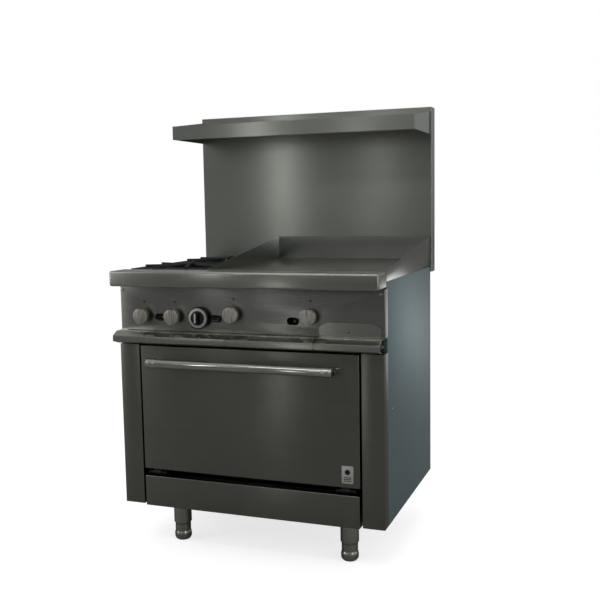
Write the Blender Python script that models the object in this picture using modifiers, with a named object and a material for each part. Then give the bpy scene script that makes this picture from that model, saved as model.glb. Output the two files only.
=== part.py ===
# Restaurant gas range: two open burners on the left, a griddle on the right, an oven below,
# and a backguard with a high shelf. Metres, +Z up, the front faces -Y.
# Pieces are placed from RANGE_ORIGIN, an empty on the floor under the front plane of the oven's
# side trims: x from the middle, y back from that plane, z up from the floor.
from math import cos, pi, sin

import bmesh
import bpy
from mathutils import Vector

# ---- driving dimensions ----
WIDTH = 0.914               # across the body
GUARD_WIDTH = 0.924         # the backguard is a little wider
BODY_DEPTH = 0.670          # trims' front plane to the body's back
GUARD_DEPTH = 0.055
HANDLE_REACH = 0.0855       # trims' front plane to the front of the handle's collars
BASE = 0.1565               # underside of the body, on the legs
SIDE_TOP = 0.922
COOK_TOP = 0.952            # top of the front rail
GUARD_TOP = 1.502
SHEET = 0.0015              # stainless sheet
GAP = 0.0003                # between faces that touch

HALF = WIDTH / 2
FRONT_Y = HANDLE_REACH - (HANDLE_REACH + BODY_DEPTH + GUARD_DEPTH) / 2
SIDE_FRONT = 0.0465         # front edge of the side panels
FLANGE = 0.014              # their folded edges
SIDE_INNER = HALF - SHEET

TRIM_WIDTH = 0.072
TRIM_TOP = 0.704
TRIM_RETURN = 0.046
PANEL_FACE = 0.013          # the control panel stands this far behind the trims
PANEL_BOTTOM = 0.7515
RAIL_BOTTOM = 0.9015
RAIL_REACH = 0.055
RAIL_BACK = 0.033

DOOR_HALF = 0.3785
DOOR_BOTTOM = 0.281
DOOR_TOP = 0.7015
DOOR_FRONT = -0.002
DOOR_BACK = 0.034
HINGE_Y = 0.004
HINGE_Z = 0.270
HANDLE_Z = 0.6555
HANDLE_RADIUS = 0.015
COLLAR_RADIUS = 0.0165
HANDLE_Y = COLLAR_RADIUS - HANDLE_REACH
HANDLE_HALF = 0.316

OVEN_HALF = 0.330
OVEN_FLOOR = 0.315
OVEN_CEILING = 0.672
OVEN_FRONT = 0.050
OVEN_BACK = 0.610
FRAME_BOTTOM = 0.262        # face frame around the oven's mouth
FRAME_TOP = 0.7035
RACK_Z = 0.500
RACK_HALF = 0.323

TRAY_BOTTOM = 0.710
TRAY_RIM = 0.7470
TRAY_LENGTH = 0.560
TRAY_LIMIT = 0.441          # the pans pass between the side panels' front edges
BAR_TOP = 0.7505
BAR_FACE = -0.0455
BAR_PROFILE = ((0.0115, BAR_TOP), (-0.020, BAR_TOP), (-0.0445, 0.738), (BAR_FACE, 0.7185), (-0.012, 0.7085))
BAR_GAP = 0.003
BAR_SEAMS = (-0.0475, 0.2465)
BAR_END = 0.4545            # the right-hand bar stops short of the side

BURNER_X = (-0.367, -0.2525)
GRIDDLE_X = (-0.0412, 0.2203)
DIAL_X = -0.1614
BURNER_KNOB_Z = 0.8005
GRIDDLE_KNOB_Z = 0.8133
DIAL_Z = 0.7985
SLOT_X = (-0.307, -0.1047, 0.161)
SLOT_Z = 0.7957
SLOT_WIDTH = 0.042
SLOT_HEIGHT = 0.024
MANIFOLD_Y = 0.045
MANIFOLD_Z = 0.770
MANIFOLD_RADIUS = 0.0133
INLET_X = 0.330
INLET_BORE = 0.0105
CHUTE_X = 0.400

SPLIT_X = -0.1425           # outer face of the griddle's left splash
SPLASH_TOP = 1.0355
GRIDDLE_TOP = 0.950
GRIDDLE_THICK = 0.020
TROUGH_BACK = 0.075
BURNER_AREA_X = (SPLIT_X - HALF) / 2
GRATE_BOTTOM = 0.9405
GRATE_TOP = 0.9605
TOP_FRONT = 0.035           # where the cooking top begins, behind the rail
TOP_BACK = 0.665

GUARD_BOTTOM = 0.9035
SHELF_FRONT = 0.414
SHELF_TOP = 1.454
SHELF_LIP = 0.0495
BRACKET_RISE = 0.0313

LEG_X = 0.3055
LEG_INSET = 0.119
LEG_RADIUS = 0.0305
NECK_RADIUS = 0.027
FOOT_RADIUS = 0.0295
FOOT_TOP = 0.0565
STEM_RADIUS = 0.0132

FINISHES = {
    "stainless": ((0.36, 0.36, 0.33), 0.32, 1.0),
    "stainless_dark": ((0.20, 0.21, 0.20), 0.38, 1.0),
    "galvanised": ((0.45, 0.46, 0.47), 0.50, 1.0),
    "chrome": ((0.62, 0.62, 0.60), 0.10, 1.0),
    "cast_iron": ((0.025, 0.026, 0.03), 0.65, 0.3),
    "enamel": ((0.03, 0.035, 0.045), 0.25, 0.0),
    "steel_plate": ((0.30, 0.29, 0.27), 0.35, 1.0),
    "pipe": ((0.06, 0.06, 0.06), 0.5, 0.5),
    "brass": ((0.55, 0.40, 0.16), 0.35, 1.0),
    "knob_metal": ((0.62, 0.61, 0.56), 0.28, 1.0),
    "black_plastic": ((0.012, 0.012, 0.013), 0.35, 0.0),
}

for old in list(bpy.data.objects):
    bpy.data.objects.remove(old, do_unlink=True)


def collection(name):
    made = bpy.data.collections.new(name)
    bpy.context.scene.collection.children.link(made)
    return made


PARTS = collection("gas_range")
CUTTERS = collection("cutters")


def material(name, colour, roughness, metallic):
    made = bpy.data.materials.new(name)
    made.use_nodes = True
    shader = made.node_tree.nodes["Principled BSDF"]
    shader.inputs["Base Color"].default_value = (*colour, 1.0)
    shader.inputs["Roughness"].default_value = roughness
    shader.inputs["Metallic"].default_value = metallic
    return made


MATERIALS = {name: material(name, *values) for name, values in FINISHES.items()}


def empty(name, location, parent=None):
    made = bpy.data.objects.new(name, None)
    made.empty_display_size = 0.05
    PARTS.objects.link(made)
    made.parent = parent
    made.location = location
    return made


RANGE_ORIGIN = empty("range_origin", (0, FRONT_Y, 0))
DOOR_PIVOT = empty("door_pivot", (0, HINGE_Y, HINGE_Z), RANGE_ORIGIN)


# ---- building blocks ----
def adopt(piece, name, finish, pivot=None):
    piece.name = name
    piece.data.name = name
    piece.data.materials.clear()
    piece.data.materials.append(MATERIALS[finish])
    for owner in list(piece.users_collection):
        owner.objects.unlink(piece)
    PARTS.objects.link(piece)
    piece.parent = pivot or RANGE_ORIGIN
    if pivot:
        piece.location -= pivot.location
    return piece


def as_tool(piece):
    for owner in list(piece.users_collection):
        owner.objects.unlink(piece)
    CUTTERS.objects.link(piece)
    piece.hide_render = True
    piece.display_type = "WIRE"
    return piece


def combine(piece, tool, operation):
    as_tool(tool)
    tool.parent = piece.parent
    if piece.parent != RANGE_ORIGIN:
        tool.location -= piece.parent.location
    step = piece.modifiers.new(operation.lower(), "BOOLEAN")
    step.operation = operation
    step.solver = "EXACT"
    step.object = tool


def cut(piece, *tools):
    for tool in tools:
        combine(piece, tool, "DIFFERENCE")
    return piece


def fuse(piece, *tools):
    for tool in tools:
        combine(piece, tool, "UNION")
    return piece


def round_edges(piece, width, segments=2):
    step = piece.modifiers.new("round", "BEVEL")
    step.width = width
    step.segments = segments
    step.limit_method = "ANGLE"


def raw_box(low, high):
    middle = [(a + b) / 2 for a, b in zip(low, high)]
    bpy.ops.mesh.primitive_cube_add(size=1, location=middle)
    made = bpy.context.object
    made.scale = [b - a for a, b in zip(low, high)]
    bpy.ops.object.transform_apply(location=False, rotation=False, scale=True)
    return made


def box(name, finish, low, high, rounding=0.0, pivot=None):
    made = adopt(raw_box(low, high), name, finish, pivot)
    if rounding:
        round_edges(made, rounding)
    return made


FACE_NORMALS = {"-X": (-1, 0, 0), "+X": (1, 0, 0), "-Y": (0, -1, 0), "+Y": (0, 1, 0),
                "-Z": (0, 0, -1), "+Z": (0, 0, 1)}


def raw_pan(low, high, open_faces, thick=SHEET, rounding=0.0, outward=False):
    # A sheet box with faces left open; its size is taken outside, or inside if outward is set.
    made = raw_box(low, high)
    shell = bmesh.new()
    shell.from_mesh(made.data)
    gone = [face for face in shell.faces
            if any((face.normal - Vector(FACE_NORMALS[side])).length < 0.1 for side in open_faces)]
    bmesh.ops.delete(shell, geom=gone, context="FACES")
    shell.to_mesh(made.data)
    shell.free()
    if rounding:
        round_edges(made, rounding)
    wall = made.modifiers.new("sheet", "SOLIDIFY")
    wall.thickness = thick
    wall.offset = 1.0 if outward else -1.0
    wall.use_even_offset = True
    return made


def pan(name, finish, low, high, open_faces, rounding=0.0, outward=False, pivot=None):
    return adopt(raw_pan(low, high, open_faces, SHEET, rounding, outward), name, finish, pivot)


ALONG = {"X": lambda a, b, t: (t, a, b), "Y": lambda a, b, t: (a, t, b), "Z": lambda a, b, t: (a, b, t)}


def raw_fold(profile, axis, span, thick=SHEET):
    # A strip folded along the profile and straight along the axis. Its outer side is on the
    # right hand of the profile's direction in (y, z) for X, (x, z) for Y and (x, y) for Z.
    point = ALONG[axis]
    strip = bmesh.new()
    row = [strip.verts.new(point(a, b, span[0])) for a, b in profile]
    edges = [strip.edges.new(pair) for pair in zip(row, row[1:])]
    grown = bmesh.ops.extrude_edge_only(strip, edges=edges)["geom"]
    moved = [item for item in grown if isinstance(item, bmesh.types.BMVert)]
    bmesh.ops.translate(strip, verts=moved, vec=Vector(point(0, 0, span[1] - span[0])))
    strip.normal_update()
    (a0, b0), (a1, b1) = profile[0], profile[1]
    outer = Vector(point(b1 - b0, a0 - a1, 0))
    first = min(strip.faces, key=lambda face: sum((v.co - row[0].co).length for v in face.verts))
    if first.normal.dot(outer) < 0:
        bmesh.ops.reverse_faces(strip, faces=strip.faces)
    mesh = bpy.data.meshes.new("fold")
    strip.to_mesh(mesh)
    strip.free()
    made = bpy.data.objects.new("fold", mesh)
    bpy.context.scene.collection.objects.link(made)
    wall = made.modifiers.new("sheet", "SOLIDIFY")
    wall.thickness = thick
    wall.offset = -1.0
    wall.use_even_offset = True
    return made


def fold(name, finish, profile, axis, span, thick=SHEET, pivot=None):
    return adopt(raw_fold(profile, axis, span, thick), name, finish, pivot)


TURNS = {"XY": (0, 0, 0), "XZ": (pi / 2, 0, 0), "YZ": (pi / 2, 0, pi / 2)}


def raw_plate(outlines, plane, level, thick):
    # A flat plate: outlines lie in the plane, the first is the edge and the rest are holes.
    # level is the middle of its thickness along the axis that the plane leaves out.
    curve = bpy.data.curves.new("plate", "CURVE")
    curve.dimensions = "2D"
    curve.fill_mode = "BOTH"
    curve.extrude = thick / 2
    for outline in outlines:
        spline = curve.splines.new("POLY")
        spline.points.add(len(outline) - 1)
        for place, (a, b) in zip(spline.points, outline):
            place.co = (a, b, 0, 1)
        spline.use_cyclic_u = True
    made = bpy.data.objects.new("plate", curve)
    bpy.context.scene.collection.objects.link(made)
    made.rotation_euler = TURNS[plane]
    made.location = ALONG[{"XY": "Z", "XZ": "Y", "YZ": "X"}[plane]](0, 0, level)
    return made


def as_mesh(piece):
    bpy.context.view_layer.update()
    seen = piece.evaluated_get(bpy.context.evaluated_depsgraph_get())
    mesh = bpy.data.meshes.new_from_object(seen)
    weld = bmesh.new()
    weld.from_mesh(mesh)
    bmesh.ops.remove_doubles(weld, verts=weld.verts, dist=0.00001)
    weld.to_mesh(mesh)
    weld.free()
    made = bpy.data.objects.new(piece.name, mesh)
    bpy.context.scene.collection.objects.link(made)
    made.matrix_world = piece.matrix_world
    bpy.data.objects.remove(piece, do_unlink=True)
    return made


def plate(name, finish, outlines, plane, level, thick, pivot=None):
    return adopt(as_mesh(raw_plate(outlines, plane, level, thick)), name, finish, pivot)


def rectangle(a0, a1, b0, b1):
    return [(a0, b0), (a1, b0), (a1, b1), (a0, b1)]


def arc(a, b, radius, start, end, steps):
    angles = [start + (end - start) * i / steps for i in range(steps + 1)]
    return [(a + radius * cos(angle), b + radius * sin(angle)) for angle in angles]


def raw_turned(profile, location, facing="+Z", steps=24, ring=False):
    # profile: (radius, height) down the outer side; a ring's profile is a closed loop.
    mesh = bpy.data.meshes.new("turned")
    edges = [(i, i + 1) for i in range(len(profile) - 1)]
    if ring:
        edges.append((len(profile) - 1, 0))
    mesh.from_pydata([(r, 0, z) for r, z in profile], edges, [])
    made = bpy.data.objects.new("turned", mesh)
    bpy.context.scene.collection.objects.link(made)
    screw = made.modifiers.new("turn", "SCREW")
    screw.steps = steps
    screw.render_steps = steps
    screw.use_merge_vertices = True
    screw.merge_threshold = 0.00001
    made.location = location
    made.rotation_euler = {"+Z": (0, 0, 0), "-Y": (pi / 2, 0, 0), "+X": (0, pi / 2, 0)}[facing]
    return made


def turned(name, finish, profile, location, facing="+Z", steps=24, ring=False, pivot=None):
    return adopt(raw_turned(profile, location, facing, steps, ring), name, finish, pivot)


def raw_rod(radius, length, location, facing, steps=20):
    # A plain cylinder that starts at its location and runs the way it faces.
    return raw_turned([(0, length), (radius, length), (radius, 0), (0, 0)], location, facing, steps)


def raw_tube(points, radius, resolution=3):
    curve = bpy.data.curves.new("tube", "CURVE")
    curve.dimensions = "3D"
    curve.bevel_depth = radius
    curve.bevel_resolution = resolution
    curve.use_fill_caps = True
    spline = curve.splines.new("POLY")
    spline.points.add(len(points) - 1)
    for place, point in zip(spline.points, points):
        place.co = (*point, 1)
    made = bpy.data.objects.new("tube", curve)
    bpy.context.scene.collection.objects.link(made)
    return made


def bent(points, radius, steps=4):
    # The corners of a route, each rounded to the radius.
    route = [Vector(points[0])]
    for before, corner, after in zip(points, points[1:], points[2:]):
        corner = Vector(corner)
        start = corner + (Vector(before) - corner).normalized() * radius
        end = corner + (Vector(after) - corner).normalized() * radius
        for i in range(steps + 1):
            t = i / steps
            route.append(start * (1 - t) ** 2 + corner * 2 * t * (1 - t) + end * t ** 2)
    return route + [Vector(points[-1])]


# ---- body ----
def base_frame():
    wall_top = 0.196
    back = 0.662
    profile = [(0.048, wall_top), (0.048, BASE), (back, BASE), (back, wall_top)]
    fold("base_frame", "galvanised", profile, "X", (-0.454, 0.454), 0.002)


def side_panels():
    inner = HALF - FLANGE
    right = [(inner, SIDE_FRONT), (HALF, SIDE_FRONT), (HALF, BODY_DEPTH), (inner, BODY_DEPTH)]
    left = [(-x, y) for x, y in reversed(right)]
    for name, profile in (("right_side_panel", right), ("left_side_panel", left)):
        fold(name, "stainless_dark", profile, "Z", (BASE, SIDE_TOP))


def back_panel():
    low, high = BASE + 0.0005, 0.9015
    outlines = [rectangle(-0.455, 0.455, low, high)]
    for z in (0.60, 0.66):
        for i in range(6):
            middle = -0.375 + i * 0.15
            outlines.append(rectangle(middle - 0.05, middle + 0.05, z - 0.008, z + 0.008))
    outlines.append(arc(INLET_X, MANIFOLD_Z, 0.017, 0, 2 * pi * 15 / 16, 15))
    plate("back_panel", "galvanised", outlines, "XZ", 0.6676, 0.0012)


def front_trims():
    inner = HALF - TRIM_WIDTH
    right = [(inner, TRIM_RETURN), (inner, 0), (HALF, 0), (HALF, TRIM_RETURN)]
    left = [(-x, y) for x, y in reversed(right)]
    for name, profile in (("right_front_trim", right), ("left_front_trim", left)):
        fold(name, "stainless", profile, "Z", (BASE, TRIM_TOP))


def kick_panel():
    pan("kick_panel", "stainless", (-0.377, -0.004, 0.153), (0.377, 0.030, 0.257), ["+Y"], 0.002)


def control_panel():
    profile = [(-HALF, TRIM_RETURN), (-HALF, PANEL_FACE), (HALF, PANEL_FACE), (HALF, TRIM_RETURN)]
    panel = fold("control_panel", "stainless", profile, "Z", (PANEL_BOTTOM, RAIL_BOTTOM - 0.001))
    shaft_hole = 0.008
    through = 0.031
    centres = [(x, BURNER_KNOB_Z) for x in BURNER_X] + [(x, GRIDDLE_KNOB_Z) for x in GRIDDLE_X]
    for x, z in centres + [(DIAL_X, DIAL_Z)]:
        cut(panel, raw_rod(shaft_hole, through, (x, through, z), "-Y", 16))
    end = SLOT_HEIGHT / 2
    straight = SLOT_WIDTH / 2 - end
    for x in SLOT_X:
        outline = arc(x + straight, SLOT_Z, end, -pi / 2, pi / 2, 6)
        outline += arc(x - straight, SLOT_Z, end, pi / 2, pi * 3 / 2, 6)
        cut(panel, as_mesh(raw_plate([outline], "XZ", PANEL_FACE, through)))


def front_rail():
    low, high = (-HALF, -RAIL_REACH, RAIL_BOTTOM), (HALF, RAIL_BACK, COOK_TOP)
    pan("front_rail", "stainless", low, high, ["+Y"], 0.008)


# ---- oven ----
def oven_liner():
    low, high = (-OVEN_HALF, OVEN_FRONT, OVEN_FLOOR), (OVEN_HALF, OVEN_BACK, OVEN_CEILING)
    liner = adopt(raw_pan(low, high, ["-Y"], outward=True), "oven_liner", "enamel")
    edge = rectangle(-0.440, 0.440, FRAME_BOTTOM, FRAME_TOP)
    mouth = rectangle(-OVEN_HALF, OVEN_HALF, OVEN_FLOOR, OVEN_CEILING)
    frame_thick = 0.002
    fuse(liner, as_mesh(raw_plate([edge, mouth], "XZ", OVEN_FRONT - frame_thick / 2 + 0.0005, frame_thick)))


def oven_floor():
    front, back = 0.066, 0.602
    outlines = [rectangle(-0.329, 0.329, front, back)]
    for i in range(6):
        middle = -0.25 + i * 0.1
        outlines.append(rectangle(middle - 0.035, middle + 0.035, back - 0.045, back - 0.030))
    plate("oven_floor", "enamel", outlines, "XY", OVEN_FLOOR + 0.0015, 0.002)


def oven_burner():
    z = 0.245
    foot_top, foot_bottom = z - 0.015, BASE + 0.0023
    burner = adopt(as_mesh(raw_tube([(0, 0.10, z), (0, 0.55, z)], 0.022)), "oven_burner", "cast_iron")
    for y in (0.15, 0.48):
        fuse(burner, raw_box((-0.012, y, foot_bottom), (0.012, y + 0.006, foot_top)))


def rack_guides():
    wall = 0.3285
    ledge = 0.3135
    profile = [(-wall, OVEN_FLOOR + 0.015)]
    for z in (0.380, 0.440, RACK_Z, 0.560, 0.620):
        profile += [(-wall, z - 0.008), (-ledge, z - 0.008), (-ledge, z), (-wall, z)]
    profile.append((-wall, 0.655))
    right = [(-x, z) for x, z in reversed(profile)]
    for name, points in (("left_rack_guide", profile), ("right_rack_guide", right)):
        fold(name, "chrome", points, "Y", (0.075, 0.600), 0.0012)


def oven_rack():
    front, back = 0.075, 0.595
    wire = 0.006
    columns, rows = 16, 2
    pitch_x = (2 * RACK_HALF - wire) / columns
    pitch_y = (back - front - wire) / rows
    outlines = [rectangle(-RACK_HALF, RACK_HALF, front, back)]
    for i in range(columns):
        for j in range(rows):
            x, y = -RACK_HALF + wire + i * pitch_x, front + wire + j * pitch_y
            outlines.append(rectangle(x, x + pitch_x - wire, y, y + pitch_y - wire))
    plate("oven_rack", "chrome", outlines, "XY", RACK_Z + GAP + wire / 2, wire)


# ---- trays under the control panel ----
def tray_deck():
    box("tray_deck", "galvanised", (-0.455, 0.049, 0.7045), (0.455, 0.660, 0.706))


def tray(name, low_x, high_x):
    # The pan, its pull bar across the front, and the flange that joins them.
    left, right = max(low_x + 0.004, -TRAY_LIMIT), min(high_x - 0.004, TRAY_LIMIT)
    front = 0.001
    made = pan(name, "stainless", (left, front, TRAY_BOTTOM), (right, front + TRAY_LENGTH, TRAY_RIM), ["+Z"])
    joint_low = (left + 0.002, front - 0.001, TRAY_BOTTOM + 0.0005)
    joint_high = (right - 0.002, front + 0.001, BAR_TOP - 0.0005)
    fuse(made, raw_box(joint_low, joint_high))
    return fuse(made, raw_fold(BAR_PROFILE, "X", (low_x, high_x)))


def trays():
    gap = BAR_GAP / 2
    left_seam, right_seam = BAR_SEAMS
    tray("left_crumb_tray", -HALF, left_seam - gap)
    tray("middle_crumb_tray", left_seam + gap, right_seam - gap)
    drawer = tray("grease_drawer", right_seam + gap, BAR_END)
    # upright face in front of the control panel, with sloped top corners
    left, right = right_seam + 0.002, 0.448
    low, shoulder, top = BAR_TOP - 0.0008, 0.778, 0.7965
    slope, step, rise = 0.030, 0.006, 0.008
    outline = [(left, low), (right, low), (right, shoulder), (right - step, shoulder + rise),
               (right - slope, top), (left + slope, top), (left + step, shoulder + rise), (left, shoulder)]
    hole = arc(0.3436, 0.7668, 0.0025, 0, 2 * pi * 11 / 12, 11)
    fuse(drawer, as_mesh(raw_plate([outline, hole], "XZ", 0.0103, SHEET)))


# ---- gas train and burners ----
def gas_manifold():
    left_end, back_end = -0.410, 0.715
    route = bent([(left_end, MANIFOLD_Y, MANIFOLD_Z), (INLET_X, MANIFOLD_Y, MANIFOLD_Z),
                  (INLET_X, back_end, MANIFOLD_Z)], 0.04)
    pipe = adopt(as_mesh(raw_tube(route, MANIFOLD_RADIUS)), "gas_manifold", "pipe")
    cut(pipe, raw_rod(INLET_BORE, 0.08, (INLET_X, back_end + 0.02, MANIFOLD_Z), "-Y", 16))


def valve(name, x, z):
    base = MANIFOLD_Z + MANIFOLD_RADIUS + 0.0005
    made = box(name, "brass", (x - 0.012, 0.030, base), (x + 0.012, 0.060, z + 0.015))
    fuse(made, raw_rod(0.007, 0.023, (x, 0.078, z), "-Y", 12))


def open_burner(name, knob_x, y):
    head_z = 0.893
    z = BURNER_KNOB_Z
    profile = [(0, 0.022), (0.030, 0.022), (0.048, 0.014), (0.052, 0.006), (0.050, 0),
               (0.020, -0.012), (0, -0.012)]
    head = turned(name, "cast_iron", profile, (BURNER_AREA_X, y, head_z))
    route = bent([(knob_x, 0.0785, z), (knob_x, 0.115, z), (BURNER_AREA_X, y - 0.045, z + 0.03),
                  (BURNER_AREA_X, y, z + 0.04), (BURNER_AREA_X, y, head_z)], 0.015, 3)
    fuse(head, as_mesh(raw_tube(route, 0.014, 2)))


def griddle_burner(name, x):
    low, high = GRIDDLE_KNOB_Z, 0.880
    route = bent([(x, 0.0785, low), (x, 0.115, low), (x, 0.17, high), (x, 0.62, high)], 0.02, 3)
    adopt(raw_tube(route, 0.016, 2), name, "cast_iron")


# ---- cooking top ----
def burner_box():
    low, high = (-0.455, SIDE_FRONT + 0.002, 0.862), (SPLIT_X - SHEET, TOP_BACK, GRATE_BOTTOM - 0.0005)
    pan("burner_box", "stainless_dark", low, high, ["+Z", "-Z"])


def grate(name, front, back):
    # A square cast frame with fingers that point at the burner and stop short of its middle.
    left, right = -0.4375, SPLIT_X - 0.004
    x, y = (left + right) / 2, (front + back) / 2
    rim, finger, centre = 0.014, 0.012, 0.034
    half_x, half_y = (right - left) / 2 - rim, (back - front) / 2 - rim
    fingers = 8

    def edge_point(angle, side):
        ux, uy = cos(angle), sin(angle)
        px, py = -uy * side * finger / 2, ux * side * finger / 2
        reach_x = ((half_x if ux > 0 else -half_x) - px) / ux if abs(ux) > 1e-6 else 9
        reach_y = ((half_y if uy > 0 else -half_y) - py) / uy if abs(uy) > 1e-6 else 9
        reach = min(reach_x, reach_y)
        return [(x + px + ux * r, y + py + uy * r) for r in (reach, centre)]

    inside = []
    for i in range(fingers):
        angle = (i + 0.5) * 2 * pi / fingers
        inside += edge_point(angle, -1)
        inside += reversed(edge_point(angle, 1))
        if i % 2 == 0:
            corner = (i + 1) * 2 * pi / fingers
            side_x, side_y = (1 if cos(corner) > 0 else -1), (1 if sin(corner) > 0 else -1)
            inside.append((x + half_x * side_x, y + half_y * side_y))
    thick = GRATE_TOP - GRATE_BOTTOM
    outlines = [rectangle(left, right, front, back), inside]
    plate(name, "cast_iron", outlines, "XY", GRATE_BOTTOM + thick / 2, thick)


def griddle():
    left, right = SPLIT_X + 0.0035, HALF - 0.004
    box("griddle_plate", "steel_plate", (left, TROUGH_BACK + 0.001, GRIDDLE_TOP - GRIDDLE_THICK),
        (right, 0.661, GRIDDLE_TOP), 0.0015)
    trough_bottom = 0.9235
    trough_low, trough_high = (left, TOP_FRONT, trough_bottom), (right, TROUGH_BACK, 0.948)
    trough = pan("grease_trough", "stainless", trough_low, trough_high, ["+Z"])
    chute_y, chute_bottom = 0.055, 0.760
    chute = 0.016
    fuse(trough, raw_rod(chute, trough_bottom + 0.001 - chute_bottom, (CHUTE_X, chute_y, chute_bottom), "+Z"))
    cut(trough, raw_rod(chute - SHEET, 0.2, (CHUTE_X, chute_y, chute_bottom - 0.02), "+Z"))


def griddle_splash():
    back = TOP_BACK + SHEET
    profile = [(HALF, TOP_FRONT), (HALF, back), (SPLIT_X, back), (SPLIT_X, TOP_FRONT)]
    splash = fold("griddle_splash", "stainless_dark", profile, "Z", (SIDE_TOP + 0.0005, SPLASH_TOP))
    slope_start, low, high = 0.02, 0.9508, 1.2
    slope_end = TOP_BACK - 0.0005
    wedge = [(slope_start, low), (slope_end, SPLASH_TOP), (slope_end, high), (slope_start, high)]
    cut(splash, as_mesh(raw_plate([wedge], "YZ", HALF / 2, WIDTH)))


# ---- backguard and shelf ----
def backguard():
    half = GUARD_WIDTH / 2
    low, high = (-half, BODY_DEPTH + 0.0005, GUARD_BOTTOM), (half, BODY_DEPTH + GUARD_DEPTH, GUARD_TOP)
    guard = pan("backguard", "stainless", low, high, ["-Z"], 0.002)
    vent_half, y = 0.12, BODY_DEPTH + GUARD_DEPTH * 0.55
    for x in (-0.28, 0, 0.28):
        vent_low = (x - vent_half, y - 0.012, GUARD_TOP - 0.01)
        cut(guard, raw_box(vent_low, (x + vent_half, y + 0.012, GUARD_TOP + 0.01)))


def shelf():
    back, inset = 0.6685, 0.4545
    bottom = SHELF_TOP - SHELF_LIP
    lip_depth = 0.0015
    profile = [(back, SHELF_TOP + 0.016), (back, SHELF_TOP - 0.0005),
               (SHELF_FRONT + 0.0005, SHELF_TOP - 0.0005),
               (SHELF_FRONT + 0.0005, bottom + 0.0005), (SHELF_FRONT + 0.0145, bottom + 0.0005)]
    made = fold("shelf", "stainless", profile, "X", (-inset, inset))
    fuse(made, raw_box((-HALF, SHELF_FRONT, bottom), (HALF, SHELF_FRONT + lip_depth, SHELF_TOP)))
    front = SHELF_FRONT + 0.002
    outline = [(front, bottom + 0.0005), (back, bottom), (back, SHELF_TOP + BRACKET_RISE),
               (front, SHELF_TOP - 0.0005)]
    for name, side in (("left_shelf_bracket", -1), ("right_shelf_bracket", 1)):
        plate(name, "stainless_dark", [outline], "YZ", side * (HALF - 0.0011), 0.0018)


# ---- door ----
def door():
    low, high = (-DOOR_HALF, DOOR_FRONT, DOOR_BOTTOM), (DOOR_HALF, DOOR_BACK, DOOR_TOP)
    pan("door_outer_panel", "stainless", low, high, ["+Y"], 0.002, pivot=DOOR_PIVOT)
    plug_low, plug_high = (-0.320, DOOR_BACK + 0.001, 0.325), (0.320, 0.060, 0.662)
    inner = adopt(raw_pan(plug_low, plug_high, ["-Y"]), "door_inner_panel", "enamel", DOOR_PIVOT)
    edge = rectangle(-0.3765, 0.3765, DOOR_BOTTOM + 0.002, DOOR_TOP - 0.002)
    mouth = rectangle(-0.319, 0.319, 0.326, 0.661)
    fuse(inner, as_mesh(raw_plate([edge, mouth], "XZ", DOOR_BACK + 0.0012, 0.0018)))


def door_handle():
    end = HANDLE_HALF - 0.0055
    wall = 0.002
    inner = HANDLE_RADIUS - wall
    ring = [(HANDLE_RADIUS, end), (HANDLE_RADIUS, -end), (inner, -end), (inner, end)]
    turned("door_handle", "chrome", ring, (0, HANDLE_Y, HANDLE_Z), "+X", 24, True, DOOR_PIVOT)


def handle_bracket(name, side):
    # An end plate that stands on the door, with a collar around the end of the handle.
    thick, foot = 0.005, DOOR_FRONT - GAP
    nose = HANDLE_RADIUS + 0.002 - 0.003
    low, high = HANDLE_Z - nose, HANDLE_Z + nose
    outline = arc(HANDLE_Y, HANDLE_Z, nose, pi / 2, pi * 3 / 2, 8) + [(foot, low), (foot, high)]
    middle = side * (HANDLE_HALF - thick / 2)
    bracket = plate(name, "chrome", [outline], "YZ", middle, thick, DOOR_PIVOT)
    foot_low, foot_high = sorted((side * HANDLE_HALF, side * (HANDLE_HALF - 0.018)))
    fuse(bracket, raw_box((foot_low, foot - 0.003, low), (foot_high, foot, high)))
    collar, bore, length = COLLAR_RADIUS, HANDLE_RADIUS + GAP, 0.032
    start = side * HANDLE_HALF - (length if side > 0 else 0)
    outer = [(collar, length), (collar, 0), (bore, 0), (bore, length)]
    tool = raw_turned(outer, (start, HANDLE_Y, HANDLE_Z), "+X", 24, True)
    fuse(bracket, tool)


def hinge(side_name, side):
    # The knuckle hangs under the door and turns on a pin held by two ears on the frame.
    left, right = sorted((side * 0.318, side * 0.346))
    barrel, pin, bore = 0.0065, 0.004, 0.0043
    tab_low = (left, HINGE_Y - 0.004, HINGE_Z + barrel - 0.0015)
    tab_high = (right, HINGE_Y + 0.004, DOOR_BOTTOM - GAP)
    knuckle = turned(side_name + "_hinge_knuckle", "stainless_dark",
                     [(barrel, right - left), (barrel, 0), (bore, 0), (bore, right - left)],
                     (left, HINGE_Y, HINGE_Z), "+X", 16, True, DOOR_PIVOT)
    fuse(knuckle, raw_box(tab_low, tab_high))
    pin_half, middle = 0.0325, (left + right) / 2
    held = adopt(raw_rod(pin, 2 * pin_half, (middle - pin_half, HINGE_Y, HINGE_Z), "+X", 16),
                 side_name + "_hinge_pin", "stainless_dark")
    for x in (middle - pin_half + 0.002, middle + pin_half - 0.006):
        ear_low = (x, HINGE_Y - 0.0055, HINGE_Z - 0.0055)
        fuse(held, raw_box(ear_low, (x + 0.004, OVEN_FRONT - 0.0022, HINGE_Z + 0.0055)))


# ---- knobs ----
def knob(name, x, z):
    # Local +Z points out of the panel, and the origin is where the shaft's axis meets it.
    profile = [(0, 0.028), (0.0243, 0.028), (0.0263, 0.026), (0.0263, 0.0165), (0.0248, 0.014),
               (0.005, 0.014), (0.005, -0.0165), (0, -0.0165)]
    made = turned(name, "knob_metal", profile, (x, PANEL_FACE, z), "-Y", 32)
    grip_half, grip_height, grip_front = 0.0115, 0.0255, 0.042
    grip_low = (x - grip_half, PANEL_FACE - grip_front, z - grip_height)
    grip_high = (x + grip_half, PANEL_FACE - 0.02, z + grip_height)
    grip = raw_box(grip_low, grip_high)
    round_edges(grip, 0.004)
    fuse(made, grip)


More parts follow.
